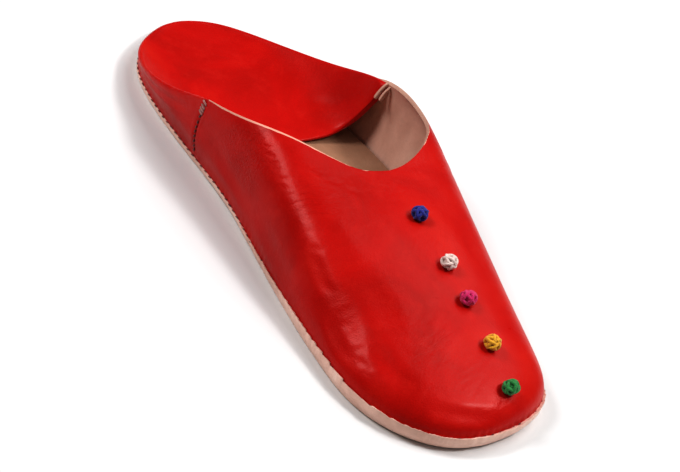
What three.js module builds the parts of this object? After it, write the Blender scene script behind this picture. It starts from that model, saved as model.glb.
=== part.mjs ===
// A babouche: a soft leather slipper whose back is folded down inside the heel.
//
// Millimetres, +Z up, toe towards -Y, heel towards +Y, +X to the wearer's left.
// It is a left slipper: its straighter, inner side is the wearer's right, -X.
// The upper is one skin over the last. Its wall is a ring of columns that stands on the sole's
// edge, and its top is rows that run across, bow forwards into the toe and back into the heel.

import * as THREE from "three";

// Driving sizes
const LENGTH = 255; // outsole, toe tip to heel back
const BALL_WIDTH = 86; // outsole, across the ball
const INSTEP = 39; // top of the vamp at the front of the throat
const SIDE_HEIGHT = 33; // top line at the side seam
const HEEL_HEIGHT = 7.8; // folded edge at the back of the heel
const LEATHER = 1.4; // upper leather
const SOLE = 2.5; // outsole leather
const INSOLE = 1.6; // insole leather
const GAP = 0.3; // between pieces
const TOE_SPRING = 0.4; // the tip of the toe, off the floor
const ARCH = 0.7; // the waist, off the floor
const KNOT = 7.6; // a thread knot, across

// Places along the foot, as fractions of the length from the toe
const TOE_CORNER = 0.045; // the first row across
const TOE_CENTRE = 0.17; // the toe's dome fans out from here
const STRAIGHT_ROWS = 0.2; // rows behind this one run straight across
const THROAT = 0.434;
const SIDE_SEAM = 0.667; // the vamp ends here, and so does the folded flap
const SEAM_SKEW = 0.013; // the inner seam is this far behind it, and the outer one before it
const HEEL_CENTRE = 0.86; // the heel's wall fans out from here
const HEEL_CORNER = 0.955; // the last row across
const SPRING_END = 0.2; // forefoot flat from here
const ARCH_START = 0.42; // to here
const ARCH_END = 0.7; // heel flat from here on

// How fine the skin is
const ACROSS = 14; // columns over the top
const HALF = ACROSS / 2;
const VAMP_ROWS = 14;
const SIDE_ROWS = 10;
const HEEL_ROWS = 11;
const OUTER_RINGS = 3; // bands at the foot of the wall
const INNER_RINGS = 2;
const RING_HEIGHT = 9; // how far up the wall they reach
const RING_SHARE = 0.35; // or this share of a low wall
const CLOSE_UP = 0.85; // how much the columns close up beside the throat
const [LEAST_CLOSE, MOST_CLOSE] = [1, 4]; // powers it stays between
const SIDE_CROWD = 1.6; // power by which the side rows crowd towards the throat
const TOE_BOW = 1.3; // power by which the rows turn into the toe's curve
const HEEL_BOW = 2.2; // and into the heel's
const HEEL_FAN = 0.36; // the flap's columns crowd to its sides as a sine of this many half turns

// The sole's edge from the middle line, in ball widths
const OUTLINE = [
  { at: 0.04, inner: -0.405, outer: 0.285 },
  { at: 0.09, inner: -0.515, outer: 0.352 },
  { at: 0.15, inner: -0.569, outer: 0.39 },
  { at: 0.21, inner: -0.572, outer: 0.42 },
  { at: 0.31, inner: -0.552, outer: 0.463 },
  { at: 0.44, inner: -0.502, outer: 0.498 },
  { at: 0.58, inner: -0.453, outer: 0.5 },
  { at: 0.72, inner: -0.45, outer: 0.465 },
  { at: 0.85, inner: -0.436, outer: 0.398 },
  { at: 0.93, inner: -0.358, outer: 0.298 },
  { at: 0.975, inner: -0.215, outer: 0.18 },
];
const TOE_TIP = -0.09;
const HEEL_TIP = -0.012;

// The last's sections: height of the crest in insteps, its place from the middle line in ball
// widths, how square each side is (2 is an ellipse), and how far each wall leans out, in mm
const SECTIONS = [
  { at: 0.0, crest: 0.5, crestX: 0.02, squareIn: 2.3, squareOut: 2.5, leanIn: 0, leanOut: 0 },
  { at: 0.11, crest: 0.6, crestX: 0.052, squareIn: 2.3, squareOut: 2.5, leanIn: 0, leanOut: 0 },
  { at: 0.19, crest: 0.7, crestX: 0.06, squareIn: 2.3, squareOut: 2.6, leanIn: 0, leanOut: 0 },
  { at: 0.25, crest: 0.8, crestX: 0.064, squareIn: 2.4, squareOut: 2.8, leanIn: 0, leanOut: 0 },
  { at: 0.34, crest: 0.91, crestX: 0.065, squareIn: 3.3, squareOut: 3.3, leanIn: 0.2, leanOut: 0.8 },
  { at: 0.434, crest: 1.0, crestX: 0.08, squareIn: 4.5, squareOut: 4.2, leanIn: 0.6, leanOut: 2.6 },
  { at: 0.54, crest: 1.14, crestX: 0.06, squareIn: 5, squareOut: 5, leanIn: 1.6, leanOut: 4.4 },
  { at: 0.67, crest: 1.22, crestX: 0.03, squareIn: 5, squareOut: 5, leanIn: 3, leanOut: 5 },
  { at: 0.85, crest: 1.23, crestX: -0.01, squareIn: 5, squareOut: 5, leanIn: 3.6, leanOut: 2.8 },
  { at: 1.0, crest: 1.23, crestX: -0.017, squareIn: 5, squareOut: 5, leanIn: 1.4, leanOut: 1.2 },
];

// Where the cut edge of the throat lies: a share of the way from the sole's edge to the crest
const TOP_LINE = [
  { at: 0.434, inner: 1, outer: 1 },
  { at: 0.444, inner: 0.83, outer: 0.85 },
  { at: 0.463, inner: 0.757, outer: 0.72 },
  { at: 0.483, inner: 0.695, outer: 0.63 },
  { at: 0.504, inner: 0.645, outer: 0.555 },
  { at: 0.525, inner: 0.597, outer: 0.502 },
  { at: 0.57, inner: 0.503, outer: 0.48 },
  { at: 0.61, inner: 0.447, outer: 0.458 },
  { at: 0.65, inner: 0.405, outer: 0.415 },
  { at: 0.69, inner: 0.372, outer: 0.375 },
];

// The folded edge behind the seam, as a share of the way from heel height up to side height
const FOLD_LINE = [
  { at: 0.65, rise: 1.08 },
  { at: 0.68, rise: 0.97 },
  { at: 0.75, rise: 0.64 },
  { at: 0.85, rise: 0.26 },
  { at: 0.93, rise: 0.08 },
  { at: 1.0, rise: 0.0 },
];
const FOLD_EASE = 1.1; // the outside of the fold starts this far below its top
const FLAP_DISH = 4; // power of the flap's rise from the heel seat to the fold
const FLAP_PUFF = 0.5; // the flap lies this far off flat at its middle

// The sole's edge, turned up above its own thickness
const LIP = [
  { at: 0.0, up: 2.7 },
  { at: 0.1, up: 2.8 },
  { at: 0.2, up: 2.6 },
  { at: 0.3, up: 1.8 },
  { at: 0.42, up: 0.6 },
  { at: 0.52, up: 0.15 },
  { at: 0.7, up: 0.15 },
  { at: 0.85, up: 0.2 },
  { at: 1.0, up: 0.25 },
];
const LIP_WIDTH = 2.2;

// Thread knots down the vamp
const KNOTS = [
  { name: "pompom_blue", at: 0.341, colour: 0x1d2f93 },
  { name: "pompom_white", at: 0.25, colour: 0xe3c6bf },
  { name: "pompom_pink", at: 0.187, colour: 0xc8185f },
  { name: "pompom_yellow", at: 0.109, colour: 0xe6a52e },
  { name: "pompom_green", at: 0.041, colour: 0x2f8f3d },
];

// Curves -------------------------------------------------------------------------------------

// A smooth curve through knots [x, y], straight at both ends (a natural cubic spline).
function spline(knots) {
  const bend = knots.map(() => 0);
  const carry = knots.map(() => 0);
  for (let i = 1; i < knots.length - 1; i++) {
    const [[x0, y0], [x1, y1], [x2, y2]] = knots.slice(i - 1, i + 2);
    const share = (x1 - x0) / (x2 - x0);
    const pivot = share * bend[i - 1] + 2;
    const turn = (y2 - y1) / (x2 - x1) - (y1 - y0) / (x1 - x0);
    bend[i] = (share - 1) / pivot;
    carry[i] = ((6 * turn) / (x2 - x0) - share * carry[i - 1]) / pivot;
  }
  for (let i = knots.length - 2; i > 0; i--) bend[i] = bend[i] * bend[i + 1] + carry[i];
  return (x) => {
    let i = 1;
    while (i < knots.length - 1 && x > knots[i][0]) i++;
    const [[x0, y0], [x1, y1]] = knots.slice(i - 1, i + 1);
    const width = x1 - x0;
    const b = (x - x0) / width;
    const a = 1 - b;
    const sag = ((a ** 3 - a) * bend[i - 1] + (b ** 3 - b) * bend[i]) * (width ** 2 / 6);
    return a * y0 + b * y1 + sag;
  };
}

const column = (table, key) => spline(table.map((row) => [row.at, row[key]]));
const mix = (a, b, t) => a + (b - a) * t;
const ease = (x) => {
  const t = THREE.MathUtils.clamp(x, 0, 1);
  return t * t * (3 - 2 * t);
};

// A place on the outline is an angle: 0 at the toe tip, pi at the heel tip, positive on the
// inner side and negative on the outer side. Two places with opposite angles face each other.
const turnOf = (at) => Math.acos(1 - 2 * at);
const atOf = (turn) => (1 - Math.cos(turn)) / 2;
const yOf = (at) => (at - 0.5) * LENGTH;
const atOfY = (y) => y / LENGTH + 0.5;

function outlineCurve() {
  const inner = OUTLINE.map((row) => [turnOf(row.at), row.inner]);
  const outer = OUTLINE.map((row) => [-turnOf(row.at), row.outer]).reverse();
  const round = [...outer, [0, TOE_TIP], ...inner, [Math.PI, HEEL_TIP]];
  const turned = (by) => round.map(([turn, x]) => [turn + by, x]);
  return spline([...turned(-2 * Math.PI), ...round, ...turned(2 * Math.PI)]);
}
const edgeX = outlineCurve();
const outlinePoint = (turn) => new THREE.Vector2(edgeX(turn) * BALL_WIDTH, yOf(atOf(turn)));

const crestOf = column(SECTIONS, "crest");
const crestXOf = column(SECTIONS, "crestX");
const squareInOf = column(SECTIONS, "squareIn");
const squareOutOf = column(SECTIONS, "squareOut");
const leanInOf = column(SECTIONS, "leanIn");
const leanOutOf = column(SECTIONS, "leanOut");
// The throat's front is round, so its curve runs over the square root of the way behind it
const topLine = (key) => spline(TOP_LINE.map((row) => [Math.sqrt(row.at - THROAT), row[key]]));
const topInner = topLine("inner");
const topOuter = topLine("outer");
const foldRise = column(FOLD_LINE, "rise");
const lipOf = column(LIP, "up");

// The underside of the sole: flat under the forefoot and the heel
function liftAt(at) {
  if (at < SPRING_END) return TOE_SPRING * (1 - at / SPRING_END) ** 2;
  if (at < ARCH_START || at > ARCH_END) return 0;
  return ARCH * Math.sin((Math.PI * (at - ARCH_START)) / (ARCH_END - ARCH_START)) ** 2;
}
const bedAt = (at) => liftAt(at) + SOLE; // the sole's inside
const featherAt = (at) => bedAt(at) + lipOf(at); // the top of its turned-up edge
const seatAt = (at) => bedAt(at) + GAP + INSOLE; // the insole's top
const foldTopAt = (at) => mix(HEEL_HEIGHT, SIDE_HEIGHT, foldRise(at));

// The last's surface ---------------------------------------------------------------------------

// Where the wall at a place on the outline leans to: the crest beside it, or a fan's centre.
function centreOf(turn) {
  const at = THREE.MathUtils.clamp(atOf(turn), TOE_CENTRE, HEEL_CENTRE);
  return new THREE.Vector2(crestXOf(at) * BALL_WIDTH, yOf(at));
}

// The half section above a place on the outline. inset is how far inside the skin it runs.
function sectionAt(turn, inset) {
  const at = atOf(turn);
  const centre = centreOf(turn);
  const out = outlinePoint(turn).sub(centre);
  const square = (turn > 0 ? squareInOf : squareOutOf)(at);
  const lean = (turn > 0 ? leanInOf : leanOutOf)(at);
  const width = out.length() - inset;
  out.normalize();
  const foot = featherAt(at) + GAP;
  return { at, centre, out, square, lean, width, foot, inset };
}
const LEAN_HEIGHT = 13; // the wall has leaned out fully at this height
const leanWidth = (half, rise) => half.width + half.lean * ease(rise / LEAN_HEIGHT);

// A point of the section: round is 0 at the sole and a quarter turn at the crest.
function sectionPoint(half, round) {
  const reach = Math.max(Math.cos(round), 0) ** (2 / half.square);
  const up = Math.sin(round) ** (2 / half.square);
  const plan = half.centre.clone().addScaledVector(half.out, half.width * reach);
  const crest = crestOf(atOfY(plan.y)) * INSTEP - half.inset;
  const rise = (crest - half.foot) * up;
  const wide = leanWidth(half, rise) * reach;
  plan.copy(half.centre).addScaledVector(half.out, wide);
  return new THREE.Vector3(plan.x, plan.y, half.foot + rise);
}

// The section as a chain of points, with the distance run at each one
const CHAIN_STEPS = 160;
const CHAIN_START = 5; // closer steps at the foot, where the section rises fastest
function chainOf(half, lastRound) {
  const chain = [{ point: sectionPoint(half, 0), run: 0 }];
  for (let i = 1; i <= CHAIN_STEPS; i++) {
    const point = sectionPoint(half, lastRound * (i / CHAIN_STEPS) ** CHAIN_START);
    const before = chain[chain.length - 1];
    chain.push({ point, run: before.run + point.distanceTo(before.point) });
  }
  return chain;
}
function pointAlong(chain, run) {
  let i = 1;
  while (i < chain.length - 1 && chain[i].run < run) i++;
  const step = chain[i].run - chain[i - 1].run;
  return chain[i - 1].point.clone().lerp(chain[i].point, (run - chain[i - 1].run) / step);
}
const runOf = (chain) => chain[chain.length - 1].run;

// How far round the section lies a height
function roundAtHeight(half, z) {
  const crest = crestOf(half.at) * INSTEP - half.inset;
  const up = THREE.MathUtils.clamp((z - half.foot) / (crest - half.foot), 0, 1);
  return Math.asin(up ** (half.square / 2));
}

// The leather's run at a place: up to the crest, to the cut top line, or to the fold
function spanOf({ turn, zone }, inset) {
  const half = sectionAt(turn, inset);
  const last = zone === "back" ? roundAtHeight(half, foldTopAt(half.at) - FOLD_EASE) : Math.PI / 2;
  const chain = chainOf(half, last);
  const full = runOf(chain);
  if (zone !== "side") return { half, chain, full, reach: full };
  const share = (turn > 0 ? topInner : topOuter)(Math.sqrt(half.at - THROAT));
  return { half, chain, full, reach: share * full };
}

// The height of the toe's dome over a point in plan
function domeHeight(plan, inset) {
  const at = atOfY(plan.y);
  const onInside = plan.x < crestXOf(Math.max(at, TOE_CENTRE)) * BALL_WIDTH;
  let turn = turnOf(Math.max(at, 0)) * (onInside ? 1 : -1);
  if (at < TOE_CENTRE) {
    const centre = centreOf(0);
    const ray = plan.clone().sub(centre);
    let [low, high] = [-turnOf(TOE_CENTRE), turnOf(TOE_CENTRE)];
    while (high - low > 1e-7) {
      turn = (low + high) / 2;
      if (outlinePoint(turn).sub(centre).cross(ray) > 0) high = turn;
      else low = turn;
    }
  }
  const half = sectionAt(turn, inset);
  const away = plan.distanceTo(half.centre);
  const crest = crestOf(at) * INSTEP - inset;
  const reach = Math.min(away / leanWidth(half, RING_HEIGHT), 1);
  return half.foot + (crest - half.foot) * (1 - reach ** half.square) ** (1 / half.square);
}

// The rows and the ring --------------------------------------------------------------------------

const steps = (from, to, count, power = 1) =>
  Array.from({ length: count }, (_, i) => mix(from, to, ((i + 1) / count) ** power));
const ROW_PLACES = [
  turnOf(TOE_CORNER),
  ...steps(turnOf(TOE_CORNER), turnOf(THROAT), VAMP_ROWS),
  ...steps(turnOf(THROAT), turnOf(SIDE_SEAM), SIDE_ROWS, SIDE_CROWD),
  ...steps(turnOf(SIDE_SEAM), turnOf(HEEL_CORNER), HEEL_ROWS),
].map(atOf);
const LAST_ROW = ROW_PLACES.length - 1;
const THROAT_ROW = VAMP_ROWS;
const SEAM_ROW = VAMP_ROWS + SIDE_ROWS;

// The rows behind the throat lie askew, as the two side seams do
function skewAt(at) {
  const before = ease((at - THROAT) / (SIDE_SEAM - THROAT));
  return SEAM_SKEW * before * ease((HEEL_CORNER - at) / (HEEL_CORNER - SIDE_SEAM));
}
const zoneOf = (row) => (row <= THROAT_ROW ? "vamp" : row <= SEAM_ROW ? "side" : "back");
const innerSide = ROW_PLACES.map((at, row) => ({ turn: turnOf(at + skewAt(at)), zone: zoneOf(row) }));
const outerSide = ROW_PLACES.map((at, row) => ({ turn: -turnOf(at - skewAt(at)), zone: zoneOf(row) }));

// Round the shoe: up the inner side, round the heel, down the outer side, round the toe
const heelTurn = turnOf(HEEL_CORNER);
const toeTurn = turnOf(TOE_CORNER);
const heelArc = steps(heelTurn, 2 * Math.PI - heelTurn, ACROSS).slice(0, -1);
const toeArc = steps(-toeTurn, toeTurn, ACROSS).slice(0, -1);
const LOOP = [
  ...innerSide,
  ...heelArc.map((turn) => ({ turn: turn > Math.PI ? turn - 2 * Math.PI : turn, zone: "back" })),
  ...[...outerSide].reverse(),
  ...toeArc.map((turn) => ({ turn, zone: "vamp" })),
];
const loopInner = (row) => row;
const loopHeel = (column) => LAST_ROW + column; // 0 to ACROSS
const loopOuter = (row) => LAST_ROW + ACROSS + (LAST_ROW - row);
const loopToe = (column) => (LOOP.length - column) % LOOP.length; // 0 inner to ACROSS outer

// A mesh in the making --------------------------------------------------------------------------

class Skin {
  points = [];
  faces = [];

  add(point) {
    this.points.push(point);
    return this.points.length - 1;
  }

  // a to b crossed with a to d points outwards; inward flips it
  quad(a, b, c, d, inward = false) {
    const corners = inward ? [a, d, c, b] : [a, b, c, d];
    this.faces.push([corners[0], corners[1], corners[2]], [corners[0], corners[2], corners[3]]);
  }

  // rows of point numbers, each as long as the next
  sheet(rows, inward = false) {
    for (let r = 0; r + 1 < rows.length; r++) {
      for (let c = 0; c + 1 < rows[r].length; c++) {
        this.quad(rows[r][c], rows[r][c + 1], rows[r + 1][c + 1], rows[r + 1][c], inward);
      }
    }
  }

  geometry() {
    const used = this.faces.filter(([a, b, c]) => a !== b && b !== c && c !== a);
    const shape = new THREE.BufferGeometry();
    const flat = this.points.flatMap((point) => point.toArray());
    shape.setAttribute("position", new THREE.Float32BufferAttribute(flat, 3));
    shape.setIndex(used.flat());
    shape.computeVertexNormals();
    return shape;
  }
}

// The upper ---------------------------------------------------------------------------------------

// One side of the leather over the last: the wall's bands, the vamp's rows and the side walls up
// to the cut edge. inset is 0 for the outside and the leather's thickness for the inside.
function layLeather(skin, inset, rings) {
  const inside = inset > 0;
  const spans = LOOP.map((place) => spanOf(place, inset));

  // How far up each one the bands reach. Inside the heel they reach the flap's underside.
  const ringRun = spans.map(({ half, reach }, i) => {
    const at = half.at;
    const low = Math.min(RING_HEIGHT, RING_SHARE * reach);
    if (!inside || LOOP[i].zone === "vamp") return low;
    const pocket = pocketTop(at, half.foot) - half.foot;
    const seam = SIDE_SEAM + (LOOP[i].turn > 0 ? SEAM_SKEW : -SEAM_SKEW);
    return mix(low, pocket, Math.min((at - THROAT) / (seam - THROAT), 1));
  });
  const ring = [];
  for (let level = 0; level <= rings; level++) {
    ring.push(
      spans.map(({ chain }, i) => skin.add(pointAlong(chain, (ringRun[i] * level) / rings))),
    );
  }
  for (let level = 0; level < rings; level++) {
    for (let i = 0; i < LOOP.length; i++) {
      const next = (i + 1) % LOOP.length;
      skin.quad(ring[level][i], ring[level + 1][i], ring[level + 1][next], ring[level][next], inside);
    }
  }
  const foot = ring[0];
  const top = ring[rings];

  // A half row, from the bands up to the crest or the cut edge. Just behind the throat it keeps
  // the vamp's spacing at the wall, and its last columns close up.
  const climb = (i) => {
    const { chain, full, reach } = spans[i];
    const [missing, whole] = [full - reach, full - ringRun[i]];
    const closing = missing > 0 ? (CLOSE_UP * whole) / missing : MOST_CLOSE;
    const power = THREE.MathUtils.clamp(closing, LEAST_CLOSE, MOST_CLOSE);
    return Array.from({ length: HALF - 1 }, (_, c) => {
      const share = (c + 1) / HALF;
      return pointAlong(chain, ringRun[i] + whole * share - missing * share ** power);
    });
  };
  const edgePoint = (i) => pointAlong(spans[i].chain, spans[i].reach);
  const straightRow = (row) => {
    const [a, b] = [loopInner(row), loopOuter(row)];
    return [
      skin.points[top[a]], ...climb(a), edgePoint(a), ...climb(b).reverse(), skin.points[top[b]],
    ];
  };

  // The vamp: straight rows, then rows that bow forward to the line of the toe
  const firstStraight = ROW_PLACES.findIndex((at) => at >= STRAIGHT_ROWS);
  const model = straightRow(firstStraight);
  const toe = Array.from({ length: ACROSS + 1 }, (_, c) => skin.points[top[loopToe(c)]]);
  const rows = [];
  for (let row = 0; row <= THROAT_ROW; row++) {
    const line = row < firstStraight ? bowedRow(row, firstStraight, model, toe, skin, top, inset)
      : straightRow(row);
    rows.push(line.map((point, c) => {
      if (c === 0) return top[loopInner(row)];
      if (c === ACROSS) return top[loopOuter(row)];
      return row === 0 ? top[loopToe(c)] : skin.add(point);
    }));
  }
  skin.sheet(rows, inside);

  // The side walls, from the throat back to the seam
  const innerRows = [rows[THROAT_ROW].slice(0, HALF + 1)];
  const outerRows = [rows[THROAT_ROW].slice(HALF)];
  for (let row = THROAT_ROW + 1; row <= SEAM_ROW; row++) {
    const [a, b] = [loopInner(row), loopOuter(row)];
    innerRows.push([top[a], ...[...climb(a), edgePoint(a)].map((point) => skin.add(point))]);
    outerRows.push([...[edgePoint(b), ...climb(b).reverse()].map((point) => skin.add(point)), top[b]]);
  }
  skin.sheet(innerRows, inside);
  skin.sheet(outerRows, inside);
  return { foot, top, spans, climb, edgePoint, innerRows, outerRows };
}

// A row of the toe: a straight row's spacing that turns into the toe's own curve
function bowedRow(row, firstStraight, model, toe, skin, top, inset) {
  const bow = (1 - row / firstStraight) ** TOE_BOW;
  const [start, end] = [loopInner(row), loopOuter(row)].map((i) => skin.points[top[i]]);
  const width = model[ACROSS].x - model[0].x;
  const chord = toe[ACROSS].x - toe[0].x;
  return model.map((point, c) => {
    const spaced = start.clone().lerp(end, (point.x - model[0].x) / width);
    const share = (toe[c].x - toe[0].x) / chord;
    const curved = start.clone().lerp(end, share);
    curved.add(toe[c]).sub(toe[0].clone().lerp(toe[ACROSS], share));
    spaced.lerp(curved, bow);
    const plan = new THREE.Vector2(spaced.x, spaced.y);
    return new THREE.Vector3(plan.x, plan.y, domeHeight(plan, inset));
  });
}

// The heel's folded flap: its height over the seat, from a fold of height top
const POCKET_DROP = 5; // the flap comes away from the wall this far below the fold
const SLOPE_STEP = 0.02; // the flap's slope is taken over this share of its half width
const FLAP_HALF = 39; // its half width, for the slope
const flapSeat = (at) => seatAt(at) + GAP + LEATHER;
function pocketTop(at, foot) {
  return Math.max(foldTopAt(at) - POCKET_DROP, seatAt(at) + GAP, foot + 1);
}
function flapHeight(across, back, at) {
  const seat = flapSeat(at) + FLAP_PUFF * (1 - across ** 2) * (1 - back ** 2);
  const side = Math.max(foldTopAt(at) - FOLD_EASE - seat, 0);
  const rear = HEEL_HEIGHT - FOLD_EASE - flapSeat(1);
  const rise = Math.abs(across) ** FLAP_DISH;
  return seat + side * rise + rear * back ** FLAP_DISH * (1 - rise);
}

// Rows across the heel, from the flap's free front edge to the back of the heel. start and end
// give the points at either side of a row, and heel the last row's points.
function heelRow(row, sides, heel, height) {
  const back = (row - SEAM_ROW) / HEEL_ROWS;
  const bow = back ** HEEL_BOW;
  const [start, end] = sides;
  const chord = heel[ACROSS].x - heel[0].x;
  return Array.from({ length: ACROSS + 1 }, (_, c) => {
    const fan = Math.sin((c / HALF - 1) * Math.PI * HEEL_FAN);
    const across = fan / Math.sin(Math.PI * HEEL_FAN);
    const spaced = start.clone().lerp(end, (across + 1) / 2);
    const share = (heel[c].x - heel[0].x) / chord;
    const curved = start.clone().lerp(end, share);
    curved.add(heel[c]).sub(heel[0].clone().lerp(heel[ACROSS], share));
    spaced.lerp(curved, bow);
    const lateral = mix(across, 2 * share - 1, bow);
    return new THREE.Vector3(spaced.x, spaced.y, height(lateral, back, atOfY(spaced.y)));
  });
}

function makeUpper() {
  const skin = new Skin();
  const outer = layLeather(skin, 0, OUTER_RINGS);
  const inner = layLeather(skin, LEATHER, INNER_RINGS);

  // The bottom edge, and the cut edge round the throat
  LOOP.forEach((_, i) => {
    const next = (i + 1) % LOOP.length;
    skin.quad(outer.foot[i], outer.foot[next], inner.foot[next], inner.foot[i]);
  });
  const rim = (side, end) => side.map((row) => row[end(row)]);
  const lastOf = (row) => row.length - 1;
  const firstOf = () => 0;
  const edges = [
    [rim(outer.innerRows, lastOf), rim(inner.innerRows, lastOf)],
    [rim(inner.outerRows, firstOf), rim(outer.outerRows, firstOf)],
  ];
  edges.forEach(([left, right]) => skin.sheet(left.map((point, r) => [point, right[r]])));

  // The back: wall up to the fold, over it, and down again to the flap
  const seamEdges = {
    inner: [edges[0][0].at(-1), edges[0][1].at(-1)],
    outer: [edges[1][1].at(-1), edges[1][0].at(-1)],
  };
  const foldOver = (i) => {
    const { half } = outer.spans[i];
    const start = outer.edgePoint(i);
    const inward = new THREE.Vector3(-half.out.x, -half.out.y, 0);
    const over = start.clone().addScaledVector(inward, LEATHER);
    const down = start.clone().addScaledVector(inward, 2 * LEATHER);
    over.z += FOLD_EASE;
    return [start, over, down];
  };
  const wallColumn = (i, seamRow, seamEdge) => {
    if (seamRow) return [...seamRow, seamEdge[1], skin.add(foldOver(i)[2])];
    const wall = outer.climb(i).map((point) => skin.add(point));
    return [outer.top[i], ...wall, ...foldOver(i).map((point) => skin.add(point))];
  };
  const inners = [];
  const outers = [];
  for (let row = SEAM_ROW; row <= LAST_ROW; row++) {
    const atSeam = row === SEAM_ROW;
    inners.push(
      wallColumn(loopInner(row), atSeam && outer.innerRows.at(-1), seamEdges.inner),
    );
    outers.push(
      wallColumn(loopOuter(row), atSeam && [...outer.outerRows.at(-1)].reverse(), seamEdges.outer),
    );
  }
  const heels = Array.from({ length: ACROSS + 1 }, (_, c) => {
    if (c === 0) return inners.at(-1);
    return c === ACROSS ? outers.at(-1) : wallColumn(loopHeel(c));
  });
  skin.sheet(inners);
  skin.sheet(outers.map((line) => [...line].reverse()));
  skin.sheet(heels);

  // The flap's upper side and underside
  const lay = (lines, backLine, height, inward) => {
    const heel = backLine.map((number) => skin.points[number]);
    const rows = [];
    for (let row = SEAM_ROW; row <= LAST_ROW; row++) {
      const [start, end] = lines(row);
      const points = heelRow(row, [skin.points[start], skin.points[end]], heel, height);
      rows.push(points.map((point, c) => {
        if (c === 0) return start;
        if (c === ACROSS) return end;
        return row === LAST_ROW ? backLine[c] : skin.add(point);
      }));
    }
    skin.sheet(rows, inward);
    return rows;
  };
  const upperSide = lay(
    (row) => [inners[row - SEAM_ROW].at(-1), outers[row - SEAM_ROW].at(-1)],
    heels.map((line) => line.at(-1)),
    flapHeight,
    false,
  );
  const underHeight = (across, back, at) => {
    const top = flapHeight(across, back, at);
    const beside = flapHeight(Math.abs(across) - SLOPE_STEP, back, at);
    const run = SLOPE_STEP * FLAP_HALF;
    const slope = (flapHeight(Math.abs(across), back, at) - beside) / run;
    return Math.max(seatAt(at) + GAP, top - LEATHER * Math.hypot(1, slope));
  };
  const underSide = lay(
    (row) => [inner.top[loopInner(row)], inner.top[loopOuter(row)]],
    heels.map((_, c) => inner.top[loopHeel(c)]),
    underHeight,
    true,
  );

  // The flap's free front edge closes it
  const border = [
    ...[...inner.innerRows.at(-1)].reverse(),
    ...underSide[0].slice(1, -1),
    ...[...inner.outerRows.at(-1)].reverse(),
    ...[...upperSide[0]].reverse(),
  ];
  const flat = border.map((number) => new THREE.Vector2(skin.points[number].x, skin.points[number].z));
  for (const [a, b, c] of THREE.ShapeUtils.triangulateShape(flat, [])) {
    const turned = flat[b].clone().sub(flat[a]).cross(flat[c].clone().sub(flat[a])) < 0;
    skin.faces.push(turned ? [border[a], border[c], border[b]] : [border[a], border[b], border[c]]);
  }
  return skin.geometry();
}

// The soles -----------------------------------------------------------------------------------------

// A plate with the slipper's outline: bands is a list of { inset, z } loops from the middle of its
// underside, round its edge, to the middle of its top.
function makePlate(bands) {
  const skin = new Skin();
  const loop = LOOP.map(({ turn }) => ({ turn, at: atOf(turn), edge: outlinePoint(turn) }));
  const rings = bands.map(({ inset, z }) =>
    loop.map(({ turn, at, edge }) => {
      const inward = centreOf(turn).sub(edge).normalize();
      const plan = edge.clone().addScaledVector(inward, inset);
      return skin.add(new THREE.Vector3(plan.x, plan.y, z(at)));
    }),
  );
  for (let band = 0; band + 1 < rings.length; band++) {
    for (let i = 0; i < LOOP.length; i++) {
      const next = (i + 1) % LOOP.length;
      skin.quad(rings[band][i], rings[band + 1][i], rings[band + 1][next], rings[band][next]);
    }
  }
  const ladder = (ring) => {
    const toes = Array.from({ length: HALF }, (_, c) => [loopToe(HALF - c), loopToe(HALF + c)]);
    const rows = ROW_PLACES.map((_, row) => [loopInner(row), loopOuter(row)]);
    const heels = Array.from({ length: HALF }, (_, c) => [loopHeel(c + 1), loopHeel(ACROSS - c - 1)]);
    return [...toes, ...rows, ...heels].map((pair) => pair.map((i) => ring[i]));
  };
  skin.sheet(ladder(rings[0]), true);
  skin.sheet(ladder(rings.at(-1)));
  return skin.geometry();
}

const SOLE_ROUND = 0.9; // the sole's bottom edge is rubbed round, in three bands
const ROUND_BANDS = [
  { inset: 2, up: 0 },
  { inset: 0.5, up: 0.35 },
  { inset: 0, up: 1.4 },
];
const LIP_SLOPE = 0.3; // the lip's inner face leans in this much
const makeOutsole = () =>
  makePlate([
    ...ROUND_BANDS.map(({ inset, up }) => ({
      inset: SOLE_ROUND * inset,
      z: (at) => liftAt(at) + SOLE_ROUND * up,
    })),
    { inset: 0, z: featherAt },
    { inset: LIP_WIDTH, z: featherAt },
    { inset: LIP_WIDTH + LIP_SLOPE, z: bedAt },
  ]);

const INSOLE_INSET = LIP_WIDTH + LIP_SLOPE + GAP;
const INSOLE_WALL = 0.8; // its edge stands this share of its thickness
const INSOLE_BEVEL = 0.4; // and its top corner is cut in by this share
const makeInsole = () =>
  makePlate([
    { inset: INSOLE_INSET, z: (at) => bedAt(at) + GAP },
    { inset: INSOLE_INSET, z: (at) => bedAt(at) + GAP + INSOLE * INSOLE_WALL },
    { inset: INSOLE_INSET + INSOLE * INSOLE_BEVEL, z: seatAt },
  ]);

// The thread knots --------------------------------------------------------------------------------

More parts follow.
